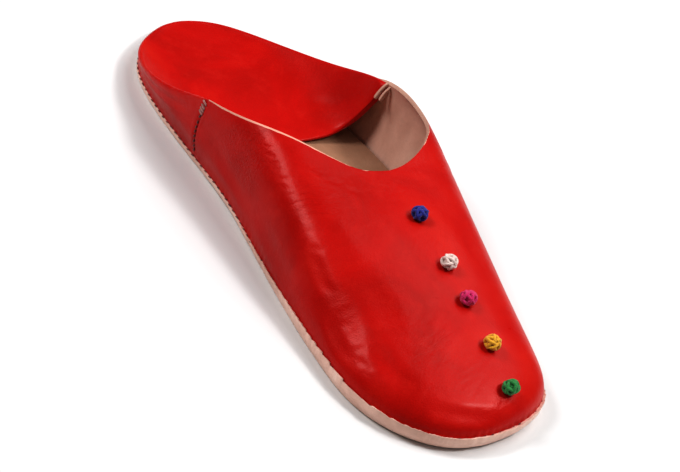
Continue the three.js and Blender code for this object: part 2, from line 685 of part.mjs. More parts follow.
const KNOT_SQUAT = 0.82; // a knot's height over its width
const [KNOT_COLUMNS, KNOT_RINGS] = [10, 7];
const KNOT_STEP = 0.5; // the vamp's slope under a knot is taken over this distance each way
function placeKnot(knot, mesh) {
  const plan = new THREE.Vector2(crestXOf(knot.at) * BALL_WIDTH, yOf(knot.at));
  const height = (dx, dy) => domeHeight(plan.clone().add(new THREE.Vector2(dx, dy)), 0);
  const normal = new THREE.Vector3(
    height(-KNOT_STEP, 0) - height(KNOT_STEP, 0),
    height(0, -KNOT_STEP) - height(0, KNOT_STEP),
    2 * KNOT_STEP,
  ).normalize();
  mesh.quaternion.setFromUnitVectors(new THREE.Vector3(0, 0, 1), normal);
  mesh.position.set(plan.x, plan.y, height(0, 0));
  mesh.position.addScaledVector(normal, (KNOT * KNOT_SQUAT) / 2 + GAP);
}
function knotShape() {
  const shape = new THREE.SphereGeometry(KNOT / 2, KNOT_COLUMNS, KNOT_RINGS);
  shape.rotateX(Math.PI / 2);
  shape.scale(1, 1, KNOT_SQUAT);
  return shape;
}

// The assembly --------------------------------------------------------------------------------------

const ROUGH = { thread: 0.85, insole: 0.75, sole: 0.7, upper: 0.35 };
const slipper = new THREE.Group();
function addPiece(name, shape, colour, roughness) {
  const mesh = new THREE.Mesh(shape, new THREE.MeshStandardMaterial({ color: colour, roughness }));
  mesh.name = name;
  slipper.add(mesh);
  return mesh;
}
addPiece("outsole", makeOutsole(), 0xd9b49a, ROUGH.sole);
addPiece("insole", makeInsole(), 0xb08464, ROUGH.insole);
addPiece("upper", makeUpper(), 0xb8120f, ROUGH.upper);
KNOTS.forEach((knot) => placeKnot(knot, addPiece(knot.name, knotShape(), knot.colour, ROUGH.thread)));

// The origin is the middle of the slipper's box, on the floor
const box = new THREE.Box3().setFromObject(slipper);
const middle = box.getCenter(new THREE.Vector3());
slipper.position.set(-middle.x, -middle.y, -box.min.z);

export default slipper;
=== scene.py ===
# %% [markdown]
# # A babouche slipper
# A soft red leather slipper with a folded-down back, a rounded toe and five thread knots on the
# vamp. The imported model gives the exact shape. Here each piece is copied, smoothed, creased
# and given its leather or thread. Sizes are in millimetres, because a shoemaker works in them.

# %% The frame
import math
import random
import bpy
import numpy as np
from mathutils import Matrix, Vector


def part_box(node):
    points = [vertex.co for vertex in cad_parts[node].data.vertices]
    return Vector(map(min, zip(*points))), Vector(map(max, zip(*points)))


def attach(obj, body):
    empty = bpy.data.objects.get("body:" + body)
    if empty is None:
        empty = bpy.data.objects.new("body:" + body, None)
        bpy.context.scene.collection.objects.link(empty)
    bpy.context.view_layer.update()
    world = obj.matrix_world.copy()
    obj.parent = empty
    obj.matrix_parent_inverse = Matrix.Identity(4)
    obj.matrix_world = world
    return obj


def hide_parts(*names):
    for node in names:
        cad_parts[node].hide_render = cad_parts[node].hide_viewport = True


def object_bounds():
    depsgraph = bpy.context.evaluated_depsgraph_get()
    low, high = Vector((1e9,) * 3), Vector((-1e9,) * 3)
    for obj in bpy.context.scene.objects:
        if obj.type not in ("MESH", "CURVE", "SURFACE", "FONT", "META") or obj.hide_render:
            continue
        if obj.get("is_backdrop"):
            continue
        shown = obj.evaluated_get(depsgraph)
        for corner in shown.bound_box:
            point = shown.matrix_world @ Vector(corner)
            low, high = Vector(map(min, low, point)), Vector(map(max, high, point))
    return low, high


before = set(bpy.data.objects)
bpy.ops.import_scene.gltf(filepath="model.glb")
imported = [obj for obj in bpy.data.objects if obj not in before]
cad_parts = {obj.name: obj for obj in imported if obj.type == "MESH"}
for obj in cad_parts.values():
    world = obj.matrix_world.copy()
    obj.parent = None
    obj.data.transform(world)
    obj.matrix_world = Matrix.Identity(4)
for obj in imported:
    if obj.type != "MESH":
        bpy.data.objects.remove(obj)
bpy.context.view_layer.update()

MM = 0.001

# %% [markdown]
# ## Camera
# A camera is a place, a target and a roll. The view looks down on the slipper from the front of its
# inner side, and the camera is rolled, so that the slipper lies on a slant. The matrix is built from
# three directions, because Euler angles hide which way the view leans.

# %% Camera
TARGET = Vector((-17.5, -28.5, 20.0)) * MM
DISTANCE = 832 * MM
AZIMUTH, ELEVATION, ROLL = (math.radians(a) for a in (-44.94, 37.01, 20.55))
FOCAL_LENGTH, FILM_WIDTH = 114.34, 36  # mm
NEAREST_SEEN = 0.01  # m

back = Vector((math.sin(AZIMUTH) * math.cos(ELEVATION),
               -math.cos(AZIMUTH) * math.cos(ELEVATION), math.sin(ELEVATION)))
right = (-back).cross(Vector((0, 0, 1))).normalized()
up = right.cross(-back)
across = right * math.cos(ROLL) + up * math.sin(ROLL)
upward = up * math.cos(ROLL) - right * math.sin(ROLL)
lens = bpy.data.cameras.new("camera")
lens.lens, lens.sensor_width, lens.clip_start = FOCAL_LENGTH, FILM_WIDTH, NEAREST_SEEN
camera = bpy.data.objects.new("camera", lens)
camera.matrix_world = Matrix.Translation(TARGET + back * DISTANCE) @ Matrix(
    (across, upward, back)).transposed().to_4x4()
bpy.context.scene.collection.objects.link(camera)
bpy.context.scene.camera = camera
print("camera stands", round(camera.location.z, 3), "m above the floor")

# %% [markdown]
# ## Floor and light
# A product table is a white sweep under one wide soft lamp overhead. The wide lamp gives leather its
# long soft highlights. A small one behind draws a streak along the shoulder, and one in front puts
# the gloss on the toe. Dim surroundings open the shadows. They look white behind the slipper, and
# are dim only as light. The plain view transform, with a little more contrast, keeps strong reds
# from being washed out, and lets the floor run up to white.

# %% Floor and light
def work_on(piece):
    """Selects one piece only, as a click on it would."""
    bpy.ops.object.select_all(action="DESELECT")
    piece.select_set(True)
    bpy.context.view_layer.objects.active = piece


def lamp(name, toward, distance, size, watts):
    """A soft square lamp that looks at the slipper from the direction given. Sizes are in metres."""
    aim = Vector(toward).normalized()
    light = bpy.data.lights.new(name, "AREA")
    light.size, light.energy = size, watts
    stand = bpy.data.objects.new(name, light)
    stand.location = Vector((0, 0, MIDDLE_HEIGHT)) + aim * distance
    stand.rotation_euler = aim.to_track_quat("Z", "Y").to_euler()
    bpy.context.scene.collection.objects.link(stand)


FLOOR_SIDE, MIDDLE_HEIGHT = 2.6, 0.02  # m
bpy.ops.object.select_all(action="DESELECT")
bpy.ops.mesh.primitive_plane_add(size=FLOOR_SIDE)
floor = bpy.context.object
floor.name = "floor"
floor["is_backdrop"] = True
lamp("key_lamp", (0.50, -0.04, 0.86), 1.4, 1.0, 11.0)
lamp("shoulder_lamp", (-0.50, 0.42, 0.76), 1.1, 0.34, 6.6)
lamp("toe_lamp", (0.42, -0.40, 0.81), 1.1, 0.18, 4.8)

# %% Surroundings
GLOW_AS_LIGHT, GLOW_AS_SEEN = 0.10, 0.95
world = bpy.data.worlds.new("surroundings")
world.use_nodes = True
sky = world.node_tree.nodes["Background"]
seen = world.node_tree.nodes.new("ShaderNodeLightPath")
glow = world.node_tree.nodes.new("ShaderNodeMapRange")
glow.inputs["To Min"].default_value = GLOW_AS_LIGHT
glow.inputs["To Max"].default_value = GLOW_AS_SEEN
world.node_tree.links.new(seen.outputs["Is Camera Ray"], glow.inputs["Value"])
world.node_tree.links.new(glow.outputs["Result"], sky.inputs["Strength"])
sky.inputs["Color"].default_value = (1, 1, 1, 1)
bpy.context.scene.world = world
view = bpy.context.scene.view_settings
view.view_transform, view.exposure, view.gamma = "Standard", 0.24, 0.8
print("surroundings:", GLOW_AS_LIGHT, "as light; view transform:", view.view_transform)

# %% [markdown]
# ## How a finish is built
# Every finish here is a small graph: patterns that are a few millimetres or a few tens of
# millimetres across drive the colour, the roughness and a fine relief. A texture mapping laid in
# millimetres says directly how large a grain is, and it can be turned along a crease.

# %% Helpers for finishes
def finish(name, **sockets):
    """A new material, with fixed numbers set on the shader itself."""
    stuff = bpy.data.materials.new(name)
    stuff.use_nodes = True
    shader = stuff.node_tree.nodes["Principled BSDF"]
    for socket, value in sockets.items():
        shader.inputs[socket.replace("_", " ")].default_value = value
    return stuff


def add(stuff, kind, feeds=(), **settings):
    """Adds a node, sets it up, and joins each feed to the input of the same number."""
    node = stuff.node_tree.nodes.new(kind)
    for key, value in settings.items():
        setattr(node, key, value)
    for place, feed in feeds:
        if isinstance(feed, bpy.types.NodeSocket):
            stuff.node_tree.links.new(feed, node.inputs[place])
        else:
            node.inputs[place].default_value = feed
    return node


def laid(stuff, size, turn=(0, 0, 0), at=(0, 0, 0)):
    """The piece's own coordinates, where one unit is as long as size says in mm."""
    place = add(stuff, "ShaderNodeTexCoord").outputs["Object"]
    size = (size, size, size) if isinstance(size, (int, float)) else size
    return add(stuff, "ShaderNodeMapping", [
        ("Vector", place), ("Location", [v * MM for v in at]), ("Scale", [v * MM for v in size]),
        ("Rotation", [math.radians(v) for v in turn])], vector_type="TEXTURE").outputs["Vector"]


def clouds(stuff, size, detail=2.0, rough=0.5, warp=0.0, **lay):
    """Soft irregular patches, about as large as size."""
    return add(stuff, "ShaderNodeTexNoise", [
        ("Vector", laid(stuff, size, **lay)), ("Scale", 1.0), ("Detail", detail),
        ("Roughness", rough), ("Distortion", warp)]).outputs[0]


def pebbles(stuff, size, **lay):
    """The small rounded cells of leather grain."""
    return add(stuff, "ShaderNodeTexVoronoi", [
        ("Vector", laid(stuff, size, **lay)), ("Scale", 1.0)]).outputs["Distance"]


def levels(stuff, value, low, high, start=0.0, end=1.0):
    """Turns a pattern between start and end into numbers between low and high."""
    return add(stuff, "ShaderNodeMapRange", [
        (0, value), (1, start), (2, end), (3, low), (4, high)]).outputs[0]


def sums(stuff, how, first, second):
    """One sum of two patterns or numbers."""
    return add(stuff, "ShaderNodeMath", [(0, first), (1, second)], operation=how).outputs[0]


def near(stuff, at, size, turn=(0, 0, 0)):
    """1 at a place on the shoe, fading to 0 at size mm from it."""
    out = add(stuff, "ShaderNodeVectorMath", [
        (0, laid(stuff, size, turn=turn, at=at))], operation="LENGTH").outputs["Value"]
    return add(stuff, "ShaderNodeMapRange", [(0, out), (1, 1.0), (2, 0.3), (3, 0.0), (4, 1.0)],
               interpolation_type="SMOOTHSTEP").outputs[0]


def tint(stuff, value, *stops):
    """A colour ramp from (place, colour) stops."""
    ramp = add(stuff, "ShaderNodeValToRGB", [(0, value)])
    while len(ramp.color_ramp.elements) < len(stops):
        ramp.color_ramp.elements.new(0.5)
    for element, (place, colour) in zip(ramp.color_ramp.elements, stops):
        element.position, element.color = place, (*colour, 1)
    return ramp.outputs["Color"]


def mixed(stuff, amount, first, second):
    """Blends two colours by a pattern."""
    return add(stuff, "ShaderNodeMix", [
        (0, amount), (6, first), (7, second)], data_type="RGBA").outputs[2]


def relief(stuff, height, depth, under=None):
    """Raises the surface by a pattern, depth mm high, on top of the relief under it."""
    return add(stuff, "ShaderNodeBump", [("Height", height), ("Distance", depth * MM)]
               + ([("Normal", under)] if under else [])).outputs["Normal"]


def join(stuff, **feeds):
    """Joins patterns to the shader's sockets."""
    shader = stuff.node_tree.nodes["Principled BSDF"]
    for socket, feed in feeds.items():
        stuff.node_tree.links.new(feed, shader.inputs[socket.replace("_", " ")])


# %% [markdown]
# ## Floor paint
# A studio sweep is matt white. One plain colour would nearly do, but a very faint unevenness keeps it
# from looking like flat paper.

# %% Floor paint
sweep = finish("sweep_white", Roughness=0.9)
join(sweep, Base_Color=tint(sweep, clouds(sweep, 180),
                            (0.3, (0.74, 0.74, 0.74)), (0.7, (0.77, 0.77, 0.77))))
floor.data.materials.append(sweep)
print("floor paint:", sweep.name)

# %% [markdown]
# ## Red leather
# The upper is thin vegetable-tanned skin, dyed red and rubbed to a satin gloss. Its dye is uneven in
# patches as wide as a thumb, its grain is about half a millimetre, and its gloss varies in patches
# as wide as a finger. Fine wrinkles gather in a few places; they are too small for the mesh, so they
# are relief in patches: behind the shoulder, over the vamp and near the toe. Where the skin is cut
# at the throat, a pale line shows, and it is wider at the inner side. A scan of leather could be
# wrapped on instead, but patterns laid in millimetres keep their size all over the skin.

# %% Red leather
DYE = ((0.30, (0.39, 0.005, 0.003)), (0.52, (0.50, 0.006, 0.004)), (0.72, (0.56, 0.012, 0.006)))
RUBBED_RED = (0.58, 0.018, 0.012, 1)
GRAIN_RED = (0.30, 0.004, 0.003, 1)
CUT_PALE = (0.80, 0.42, 0.32, 1)
# Each patch: its place, its half sizes, the length of a wrinkle, its turn in degrees and its depth.
WRINKLED = (
    ((-40, 14, 30), (16, 22, 16), 9, (0, 0, 10), 0.5),
    ((-28, -22, 36), (18, 16, 14), 12, (0, 0, -20), 0.35),
    ((-18, -95, 26), (16, 16, 14), 16, (0, 0, 20), 0.4),
    ((5, -60, 36), (20, 20, 14), 10, (0, 0, 50), 0.25),
)
WRINKLE_SLIMNESS = 0.14  # a wrinkle's width against its length


def dyed_colour(skin, grain):
    """Uneven red dye, rubbed lighter in places, darker between the grains, pale at the throat."""
    dye = clouds(skin, 38, detail=5, rough=0.55, warp=0.6)
    red = tint(skin, dye, *DYE)
    rubbed = clouds(skin, 9, detail=6, rough=0.7)
    red = mixed(skin, levels(skin, rubbed, 0.0, 0.4, 0.52, 0.75), red, RUBBED_RED)
    red = mixed(skin, levels(skin, grain, 0.16, 0.0, 0.1, 0.5), red, GRAIN_RED)
    edge = add(skin, "ShaderNodeAttribute", attribute_name="edge_gap").outputs["Fac"]
    wide = levels(skin, clouds(skin, 7, detail=3), 0.35, 0.75, 0.3, 0.7)
    inner_side = near(skin, (-36, 20, 38), 46)
    wide = sums(skin, "ADD", wide, levels(skin, inner_side, -0.45, 0.25))
    return mixed(skin, sums(skin, "LESS_THAN", edge, wide), red, CUT_PALE)


def dyed_relief(skin, grain):
    """Grain, fibres, soft dents and the patches of fine wrinkles."""
    bumps = relief(skin, grain, 0.035)
    bumps = relief(skin, clouds(skin, 0.45, detail=3, rough=0.6), 0.03, bumps)
    bumps = relief(skin, clouds(skin, 5.5, detail=3, rough=0.55, warp=1.2), 0.14, bumps)
    for at, size, length, turn, depth in WRINKLED:
        slim = length * WRINKLE_SLIMNESS
        lines = clouds(skin, (length, slim, slim), detail=3, rough=0.6, warp=0.8, turn=turn, at=at)
        fade = near(skin, at, size, turn)
        bumps = relief(skin, sums(skin, "MULTIPLY", lines, fade), depth, bumps)
    return bumps


red_skin = finish("red_leather", Coat_Weight=0.05, Coat_Roughness=0.18,
                  Specular_IOR_Level=0.16, Specular_Tint=(1.0, 0.30, 0.27, 1))
skin_grain = pebbles(red_skin, 0.62)
gloss = clouds(red_skin, 14, detail=4, rough=0.6)
join(red_skin, Base_Color=dyed_colour(red_skin, skin_grain),
     Normal=dyed_relief(red_skin, skin_grain),
     Roughness=levels(red_skin, gloss, 0.27, 0.46, 0.3, 0.7))
print("red leather patches:", len(WRINKLED))

# %% [markdown]
# ## Lining and cut edges
# The upper is one unlined skin, so inside it shows its flesh side: tan, matt and slightly hairy, with
# browner patches. Where it is cut, the pale middle of the skin shows as a thin line. Both are rough,
# with a fibrous relief. The sole and the insole are bare leather too, so one recipe is written for
# all of them, and only the colours and the length of the nap change.

# %% Lining and cut edges
def bare_leather(name, dark, middle, light, nap=0.5, depth=0.06):
    """Undyed leather with a fibrous surface and wide uneven patches."""
    skin = finish(name, Roughness=0.75, Sheen_Weight=0.15, Sheen_Roughness=0.6)
    patches = clouds(skin, 30, detail=5, rough=0.6, warp=0.5)
    colour = tint(skin, patches, (0.3, dark), (0.5, middle), (0.7, light))
    hairs = clouds(skin, (nap * 5, nap, nap), detail=4, rough=0.7, turn=(0, 0, 65), warp=0.5)
    colour = mixed(skin, levels(skin, hairs, 0.0, 0.45, 0.45, 0.8), colour, (*dark, 1))
    bumps = relief(skin, hairs, depth)
    bumps = relief(skin, clouds(skin, 4.5, detail=3, warp=1.0), 0.12, bumps)
    join(skin, Base_Color=colour, Normal=bumps,
         Roughness=levels(skin, patches, 0.65, 0.88, 0.3, 0.7))
    return skin


flesh_side = bare_leather(
    "flesh_side", (0.60, 0.33, 0.24), (0.74, 0.44, 0.335), (0.82, 0.54, 0.425))
cut_edge = bare_leather(
    "cut_edge", (0.48, 0.25, 0.18), (0.58, 0.33, 0.24), (0.66, 0.40, 0.30), nap=0.3)
print("bare leathers:", flesh_side.name, cut_edge.name)

# %% [markdown]
# ## The upper: copy, zones and smoothing
# The model's upper is already one skin with real thickness, so it is copied rather than built again.
# Its loose triangles are merged and paired into quads, because smoothing works best on quads. Each
# face then gets its finish by where it is and which way it looks: red outside and over the folded
# flap, the flesh side within, pale on the cut edges. The cut edges get a crease weight, so they stay
# crisp.

# %% Copying a model piece
SAME_PLACE = 0.02  # mm
QUAD_BEND = math.radians(70)  # the most that two triangles of one quad may bend
ZONE_BEND = math.radians(36)  # a zone of one finish ends at a sharper edge than this


def copy_of(node, name):
    """A separate, merged copy of a model piece, made of quads where it can be."""
    piece = bpy.data.objects.new(name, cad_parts[node].data.copy())
    bpy.context.scene.collection.objects.link(piece)
    piece.data.materials.clear()
    work_on(piece)
    bpy.ops.object.mode_set(mode="EDIT")
    bpy.ops.mesh.select_all(action="SELECT")
    bpy.ops.mesh.remove_doubles(threshold=SAME_PLACE * MM)
    bpy.ops.mesh.customdata_custom_splitnormals_clear()
    bpy.ops.mesh.tris_convert_to_quads(face_threshold=QUAD_BEND, shape_threshold=math.pi,
                                       topology_influence=2.0)
    bpy.ops.mesh.select_all(action="DESELECT")
    bpy.ops.object.mode_set(mode="OBJECT")
    print(name, "has", len(piece.data.polygons), "faces")
    return piece


def smoothed(piece, times):
    """Rounds a piece with a subdivision surface, and applies it."""
    work_on(piece)
    soft = piece.modifiers.new("rounded", "SUBSURF")
    soft.levels = soft.render_levels = times
    bpy.ops.object.modifier_apply(modifier=soft.name)


def pick_faces(piece, wanted):
    """Goes into edit mode with only the wanted faces selected."""
    work_on(piece)
    bpy.ops.object.mode_set(mode="EDIT")
    bpy.ops.mesh.select_mode(type="FACE")
    bpy.ops.mesh.select_all(action="DESELECT")
    bpy.ops.object.mode_set(mode="OBJECT")
    for face in piece.data.polygons:
        face.select = wanted(face)
    bpy.ops.object.mode_set(mode="EDIT")


def flat_region(piece, seed, slot):
    """Gives the faces that run on smoothly from a seed face a material slot."""
    pick_faces(piece, lambda face: face.index == seed)
    bpy.ops.mesh.faces_select_linked_flat(sharpness=ZONE_BEND)
    bpy.ops.object.mode_set(mode="OBJECT")
    for face in piece.data.polygons:
        if face.select:
            face.material_index = slot
    return sum(face.select for face in piece.data.polygons)


def closest_face(piece, at):
    """The face whose middle is nearest to a place in mm."""
    spot = Vector(at) * MM
    return min(piece.data.polygons, key=lambda f: (f.center - spot).length).index


# %% The upper's zones
RED, FLESH, CUT = 0, 1, 2
VAMP_SPOT, THROAT_EDGE_SPOT = (0, -90, 30), (-5.5, -13.9, 38.8)  # mm
FLAP_EDGE_FRONT, FLAP_EDGE_BACK = 38, 47  # mm: the flap's front edge lies between

upper = copy_of("upper", "upper_skin")
for stuff in (red_skin, flesh_side, cut_edge):
    upper.data.materials.append(stuff)
for face in upper.data.polygons:
    face.material_index = FLESH
print("red faces:", flat_region(upper, closest_face(upper, VAMP_SPOT), RED))
print("throat edge faces:", flat_region(upper, closest_face(upper, THROAT_EDGE_SPOT), CUT))
lowest = min(upper.data.polygons, key=lambda f: f.center.z).index
print("foot edge faces:", flat_region(upper, lowest, CUT))
for face in upper.data.polygons:
    looks_forward = face.normal.y < -0.75
    on_flap_edge = FLAP_EDGE_FRONT * MM < face.center.y < FLAP_EDGE_BACK * MM
    if looks_forward and on_flap_edge and face.material_index == FLESH:
        face.material_index = RED
given = [face.material_index for face in upper.data.polygons]
print("red, flesh and cut faces:", [given.count(zone) for zone in (RED, FLESH, CUT)])

# %% Where red meets the cut edges
def border(piece, wanted, start):
    """The points along the border between red and cut faces, in mm, from the least start on."""
    sides, ways = {}, {}
    for face in piece.data.polygons:
        for key in face.edge_keys:
            sides.setdefault(key, set()).add(face.material_index)
    for key, slots in sides.items():
        if slots == {RED, CUT} and all(wanted(piece.data.vertices[v].co / MM) for v in key):
            for here, there in (key, key[::-1]):
                ways.setdefault(here, []).append(there)
    walk = [min(ways, key=lambda v: start(piece.data.vertices[v].co / MM, len(ways[v])))]
    while True:
        onward = [v for v in ways[walk[-1]] if v not in walk]
        if not onward:
            break
        walk.append(onward[0])
    return [piece.data.vertices[v].co / MM for v in walk]


throat_line = border(upper, lambda p: p.z > 20 and p.y < 48, lambda p, links: links)
foot_line = border(upper, lambda p: p.z < 7, lambda p, links: p.y)
foot_line.append(foot_line[0])
print("throat line points:", len(throat_line), "and foot line points:", len(foot_line))

# %% Crisp cut edges
CUT_CRISPNESS = 0.8


def crease_between(piece, amount):
    """Keeps the edges between two finishes crisp when the piece is smoothed."""
    sides = {}
    for face in piece.data.polygons:
        for key in face.edge_keys:
            sides.setdefault(key, set()).add(face.material_index)
    weights = piece.data.attributes.new("crease_edge", "FLOAT", "EDGE")
    for edge in piece.data.edges:
        weights.data[edge.index].value = amount if len(sides[edge.key]) > 1 else 0.0
    return sum(len(s) > 1 for s in sides.values())


print("crisp edges:", crease_between(upper, CUT_CRISPNESS))
smoothed(upper, 2)
print("smoothed upper:", len(upper.data.polygons), "faces")

# %% [markdown]
# ## Vamp and back
# The real upper is two skins, a vamp and a folded back, sewn together at the sides. The smoothed skin
# is split on the line between the two side seams, and each half is smoothed once more, so that there
# are enough points to press creases into.

# %% Vamp and back
SEAM_INNER, SEAM_OUTER = (-40.0, 45.77), (46.5, 39.14)  # mm across and along


def seam_at(x):
    """How far back the side seam line is at a place across the shoe, in mm."""
    share = (x - SEAM_INNER[0]) / (SEAM_OUTER[0] - SEAM_INNER[0])
    return SEAM_INNER[1] + (SEAM_OUTER[1] - SEAM_INNER[1]) * share


pick_faces(upper, lambda face: face.center.y / MM > seam_at(face.center.x / MM))
bpy.ops.mesh.separate(type="SELECTED")
bpy.ops.object.mode_set(mode="OBJECT")
vamp = upper
vamp.name = "vamp"
back_piece = [o for o in bpy.context.selected_objects if o is not vamp][0]
back_piece.name = "folded_back"
for piece in (vamp, back_piece):
    smoothed(piece, 1)
    print(piece.name, "has", len(piece.data.polygons), "faces")

# %% [markdown]
# ## Creases
# Soft leather shows where it was pulled over the last and where a foot bends it. Each main crease is
# given as a path in shoe millimetres. The path is laid onto the skin, and every point near
# it moves in, against the way out of the skin there, with a low ridge beside the trough. The points
# are moved directly, because no modifier follows a free path over a curved skin.

# %% Laying a path on the skin
from mathutils.bvhtree import BVHTree


def side_of(piece, slot):
    """One finish of a piece, as a surface that a path can be laid on."""
    faces = [f.vertices[:] for f in piece.data.polygons if f.material_index == slot]
    return BVHTree.FromPolygons([v.co for v in piece.data.vertices], faces)


def evenly(path, gap=1.0, rounds=2):
    """A path with its corners rounded and its points gap mm apart, as an array."""
    line = np.array([tuple(p) for p in path], float)
    for _ in range(rounds):
        here, there = line[:-1], line[1:]
        cut = np.stack([here * 0.75 + there * 0.25, here * 0.25 + there * 0.75], axis=1)
        line = np.concatenate([line[:1], cut.reshape(-1, 3), line[-1:]])
    run = np.concatenate([[0], np.cumsum(np.linalg.norm(np.diff(line, axis=0), axis=1))])
    stops = np.linspace(0, run[-1], max(2, round(run[-1] / gap) + 1))
    return np.stack([np.interp(stops, run, line[:, i]) for i in range(3)], axis=1)


def laid_on(surface, path, gap=1.0):
    """A path laid on a surface: its points in mm, and the way out of the surface at each."""
    found = [surface.find_nearest(Vector(spot) * MM) for spot in evenly(path, gap)]
    return np.array([f[0] / MM for f in found]), np.array([f[1] for f in found])


# %% Pressing one crease
def places_of(piece):
    """Where all points of a piece are, in mm."""
    places = np.empty(len(piece.data.vertices) * 3)
    piece.data.vertices.foreach_get("co", places)
    return places.reshape(-1, 3) / MM


def put_places(piece, places):
    """Moves all points of a piece to places in mm."""
    piece.data.vertices.foreach_set("co", (places * MM).ravel())
    piece.data.update()


def around(places, line, reach):
    """The points in the box round a line that is reach mm wider than it on all sides."""
    inside = (places > line.min(0) - reach) & (places < line.max(0) + reach)
    return np.where(np.all(inside, axis=1))[0]


REACH, RIDGE_AT, RIDGE_SLIMNESS = 3.0, 1.7, 1.6  # against a crease's width


def press(piece, surface, path, depth, width, ridge=0.4, ends=0.6):
    """A soft trough along a path with a low ridge on either side. A negative depth raises it."""
    line, outward = laid_on(surface, path)
    places = places_of(piece)
    close = around(places, line, REACH * width)
    if not len(close):
        return
    gaps = np.linalg.norm(places[close, None] - line[None], axis=2)
    nearest = gaps.argmin(1)
    gap = gaps.min(1) / width
    fade = np.sin(np.pi * (nearest + 0.5) / len(line)) ** ends
    shape = np.exp(-gap ** 2) - ridge * np.exp(-RIDGE_SLIMNESS * (gap - RIDGE_AT) ** 2)
    places[close] -= (depth * fade * shape)[:, None] * outward[nearest]
    put_places(piece, places)


def wrinkles(piece, surface, along, run, count, depth, width, seed):
    """Short troughs side by side that cross a line, each a little different."""
    dice = random.Random(seed)
    line = evenly(along)
    for number in range(count):
        middle = Vector(line[int((number + dice.uniform(0.15, 0.85)) / count * len(line))])
        way = Vector(run) * dice.uniform(0.6, 1.2)
        way.rotate(Matrix.Rotation(math.radians(dice.uniform(-16, 16)), 3, "Z"))
        bow = Vector((-way.y, way.x, 0)) * dice.uniform(-0.12, 0.12)
        middle = middle + way * dice.uniform(-0.3, 0.3)
        press(piece, surface, [middle - way / 2, middle + bow, middle + way / 2],
              depth * dice.uniform(0.6, 1.3), width * dice.uniform(0.8, 1.25))


# %% Shoulder of the vamp
vamp_skin = side_of(vamp, RED)  # as it was before any crease
SHOULDER = [(-36, 10, 38), (-36.5, -6, 35), (-37, -20, 32), (-38.5, -35, 29), (-39.8, -50, 24),
            (-41.5, -64, 20), (-43.4, -79, 16), (-42.3, -94, 14.7), (-39, -106, 12.6)]
press(vamp, vamp_skin, SHOULDER[:6], -0.25, 7.0, ridge=0.1)
press(vamp, vamp_skin, SHOULDER[:2], 0.35, 5.0, ridge=0.1)
press(vamp, vamp_skin, SHOULDER[5:8], 0.6, 6.0, ridge=0.1)
wrinkles(vamp, vamp_skin, SHOULDER[:4], (8, -3, -3), 12, 0.12, 0.8, 3)
wrinkles(vamp, vamp_skin, SHOULDER[3:8], (6, -4, -3), 7, 0.10, 1.4, 5)
print("shoulder points:", len(SHOULDER))

# %% Creases of the vamp
VAMP_CREASES = (  # each: its path, its depth and its width, in mm
    ([(-39, -40, 26), (-41, -52, 22), (-40, -60, 22)], 0.35, 2.4),
    ([(-44, -66, 15), (-45.5, -76, 12), (-44, -86, 12)], 0.45, 2.6),
    ([(-36, -84, 20), (-37, -94, 17), (-33, -104, 16)], 0.40, 3.0),
    ([(-30, -60, 28), (-27, -72, 27), (-29, -84, 24)], 0.30, 4.5),
    ([(-24, -22, 37), (-18, -38, 35), (-20, -56, 32)], 0.30, 5.0),
    ([(20, -30, 37), (26, -48, 33), (26, -66, 28)], 0.28, 5.0),
    ([(-44, 34, 20), (-45, 20, 17), (-45, 2, 14)], 0.40, 3.5),
    ([(-46, -8, 16), (-47, -26, 14), (-47, -44, 12)], 0.45, 3.5),
    ([(-30, -113, 12), (-18, -121, 11), (-2, -124, 10)], 0.35, 2.6),
)
VAMP_WRINKLES = (  # each: the line they cross, their run, how many, depth, width and seed
    ([(-16, -96, 22), (-6, -113, 18)], (15, 5, 0), 8, 0.13, 0.9, 8),
    ([(-18, -78, 25), (-6, -90, 24)], (9, 5, 0), 6, 0.07, 1.0, 9),
    ([(-27, -8, 38), (-12, -26, 38)], (8, -8, 0), 8, 0.10, 0.9, 10),
)
for crease in VAMP_CREASES:
    press(vamp, vamp_skin, *crease)
for group in VAMP_WRINKLES:
    wrinkles(vamp, vamp_skin, *group)
print("vamp creased:", len(VAMP_CREASES), "creases,", len(vamp.data.vertices), "points")

# %% Dips under the thread knots
COLOURS = ("blue", "white", "pink", "yellow", "green")
for colour in COLOURS:
    low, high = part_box("pompom_" + colour)
    x, y, z = (low + high) / 2 / MM
    press(vamp, vamp_skin, [(x - 2, y + 1, z), (x + 2, y - 1, z)], 0.32, 2.6, ridge=0.15)
    beside = [(x - 5, y - 1, z - 3), (x - 4, y - 4, z - 3)]
    wrinkles(vamp, vamp_skin, beside, (5, 3, 0), 3, 0.10, 0.8, 31)
print("dips pressed:", len(COLOURS))

# %% Creases of the folded back
back_skin = side_of(back_piece, RED)
BACK_CREASES = (
    ([(-38, 95, 10), (-41, 80, 13), (-41.6, 66, 17), (-41, 54, 22)], 0.45, 1.6),
    ([(-37, 98, 12), (-40.5, 84, 16), (-41, 70, 20)], -0.35, 1.3),
    ([(-12, 104, 6.6), (-4, 88, 6.6), (4, 70, 6.6), (10, 54, 6.6)], 0.30, 6.0),
    ([(12, 108, 6.6), (16, 92, 7), (18, 76, 8)], 0.28, 5.0),
    ([(-22, 90, 7), (-20, 74, 8), (-24, 60, 10)], 0.30, 4.0),
    ([(-6, 116, 6.6), (8, 116, 6.6), (20, 110, 7)], 0.22, 3.0),
    ([(24, 62, 12), (30, 52, 20), (36, 44, 28)], 0.25, 3.0),
    ([(40, 60, 10), (41, 76, 9), (38, 92, 7)], 0.40, 2.4),
    ([(-10, 127, 8), (4, 127, 7), (16, 124, 7)], 0.25, 2.2),
)
for crease in BACK_CREASES:
    press(back_piece, back_skin, *crease)
wrinkles(back_piece, back_skin, [(-30, 58, 14), (-22, 92, 8)], (7, 4, 0), 7, 0.14, 1.0, 14)
wrinkles(back_piece, back_skin, [(-5, 60, 7), (10, 100, 7)], (10, -6, 0), 8, 0.10, 1.2, 15)
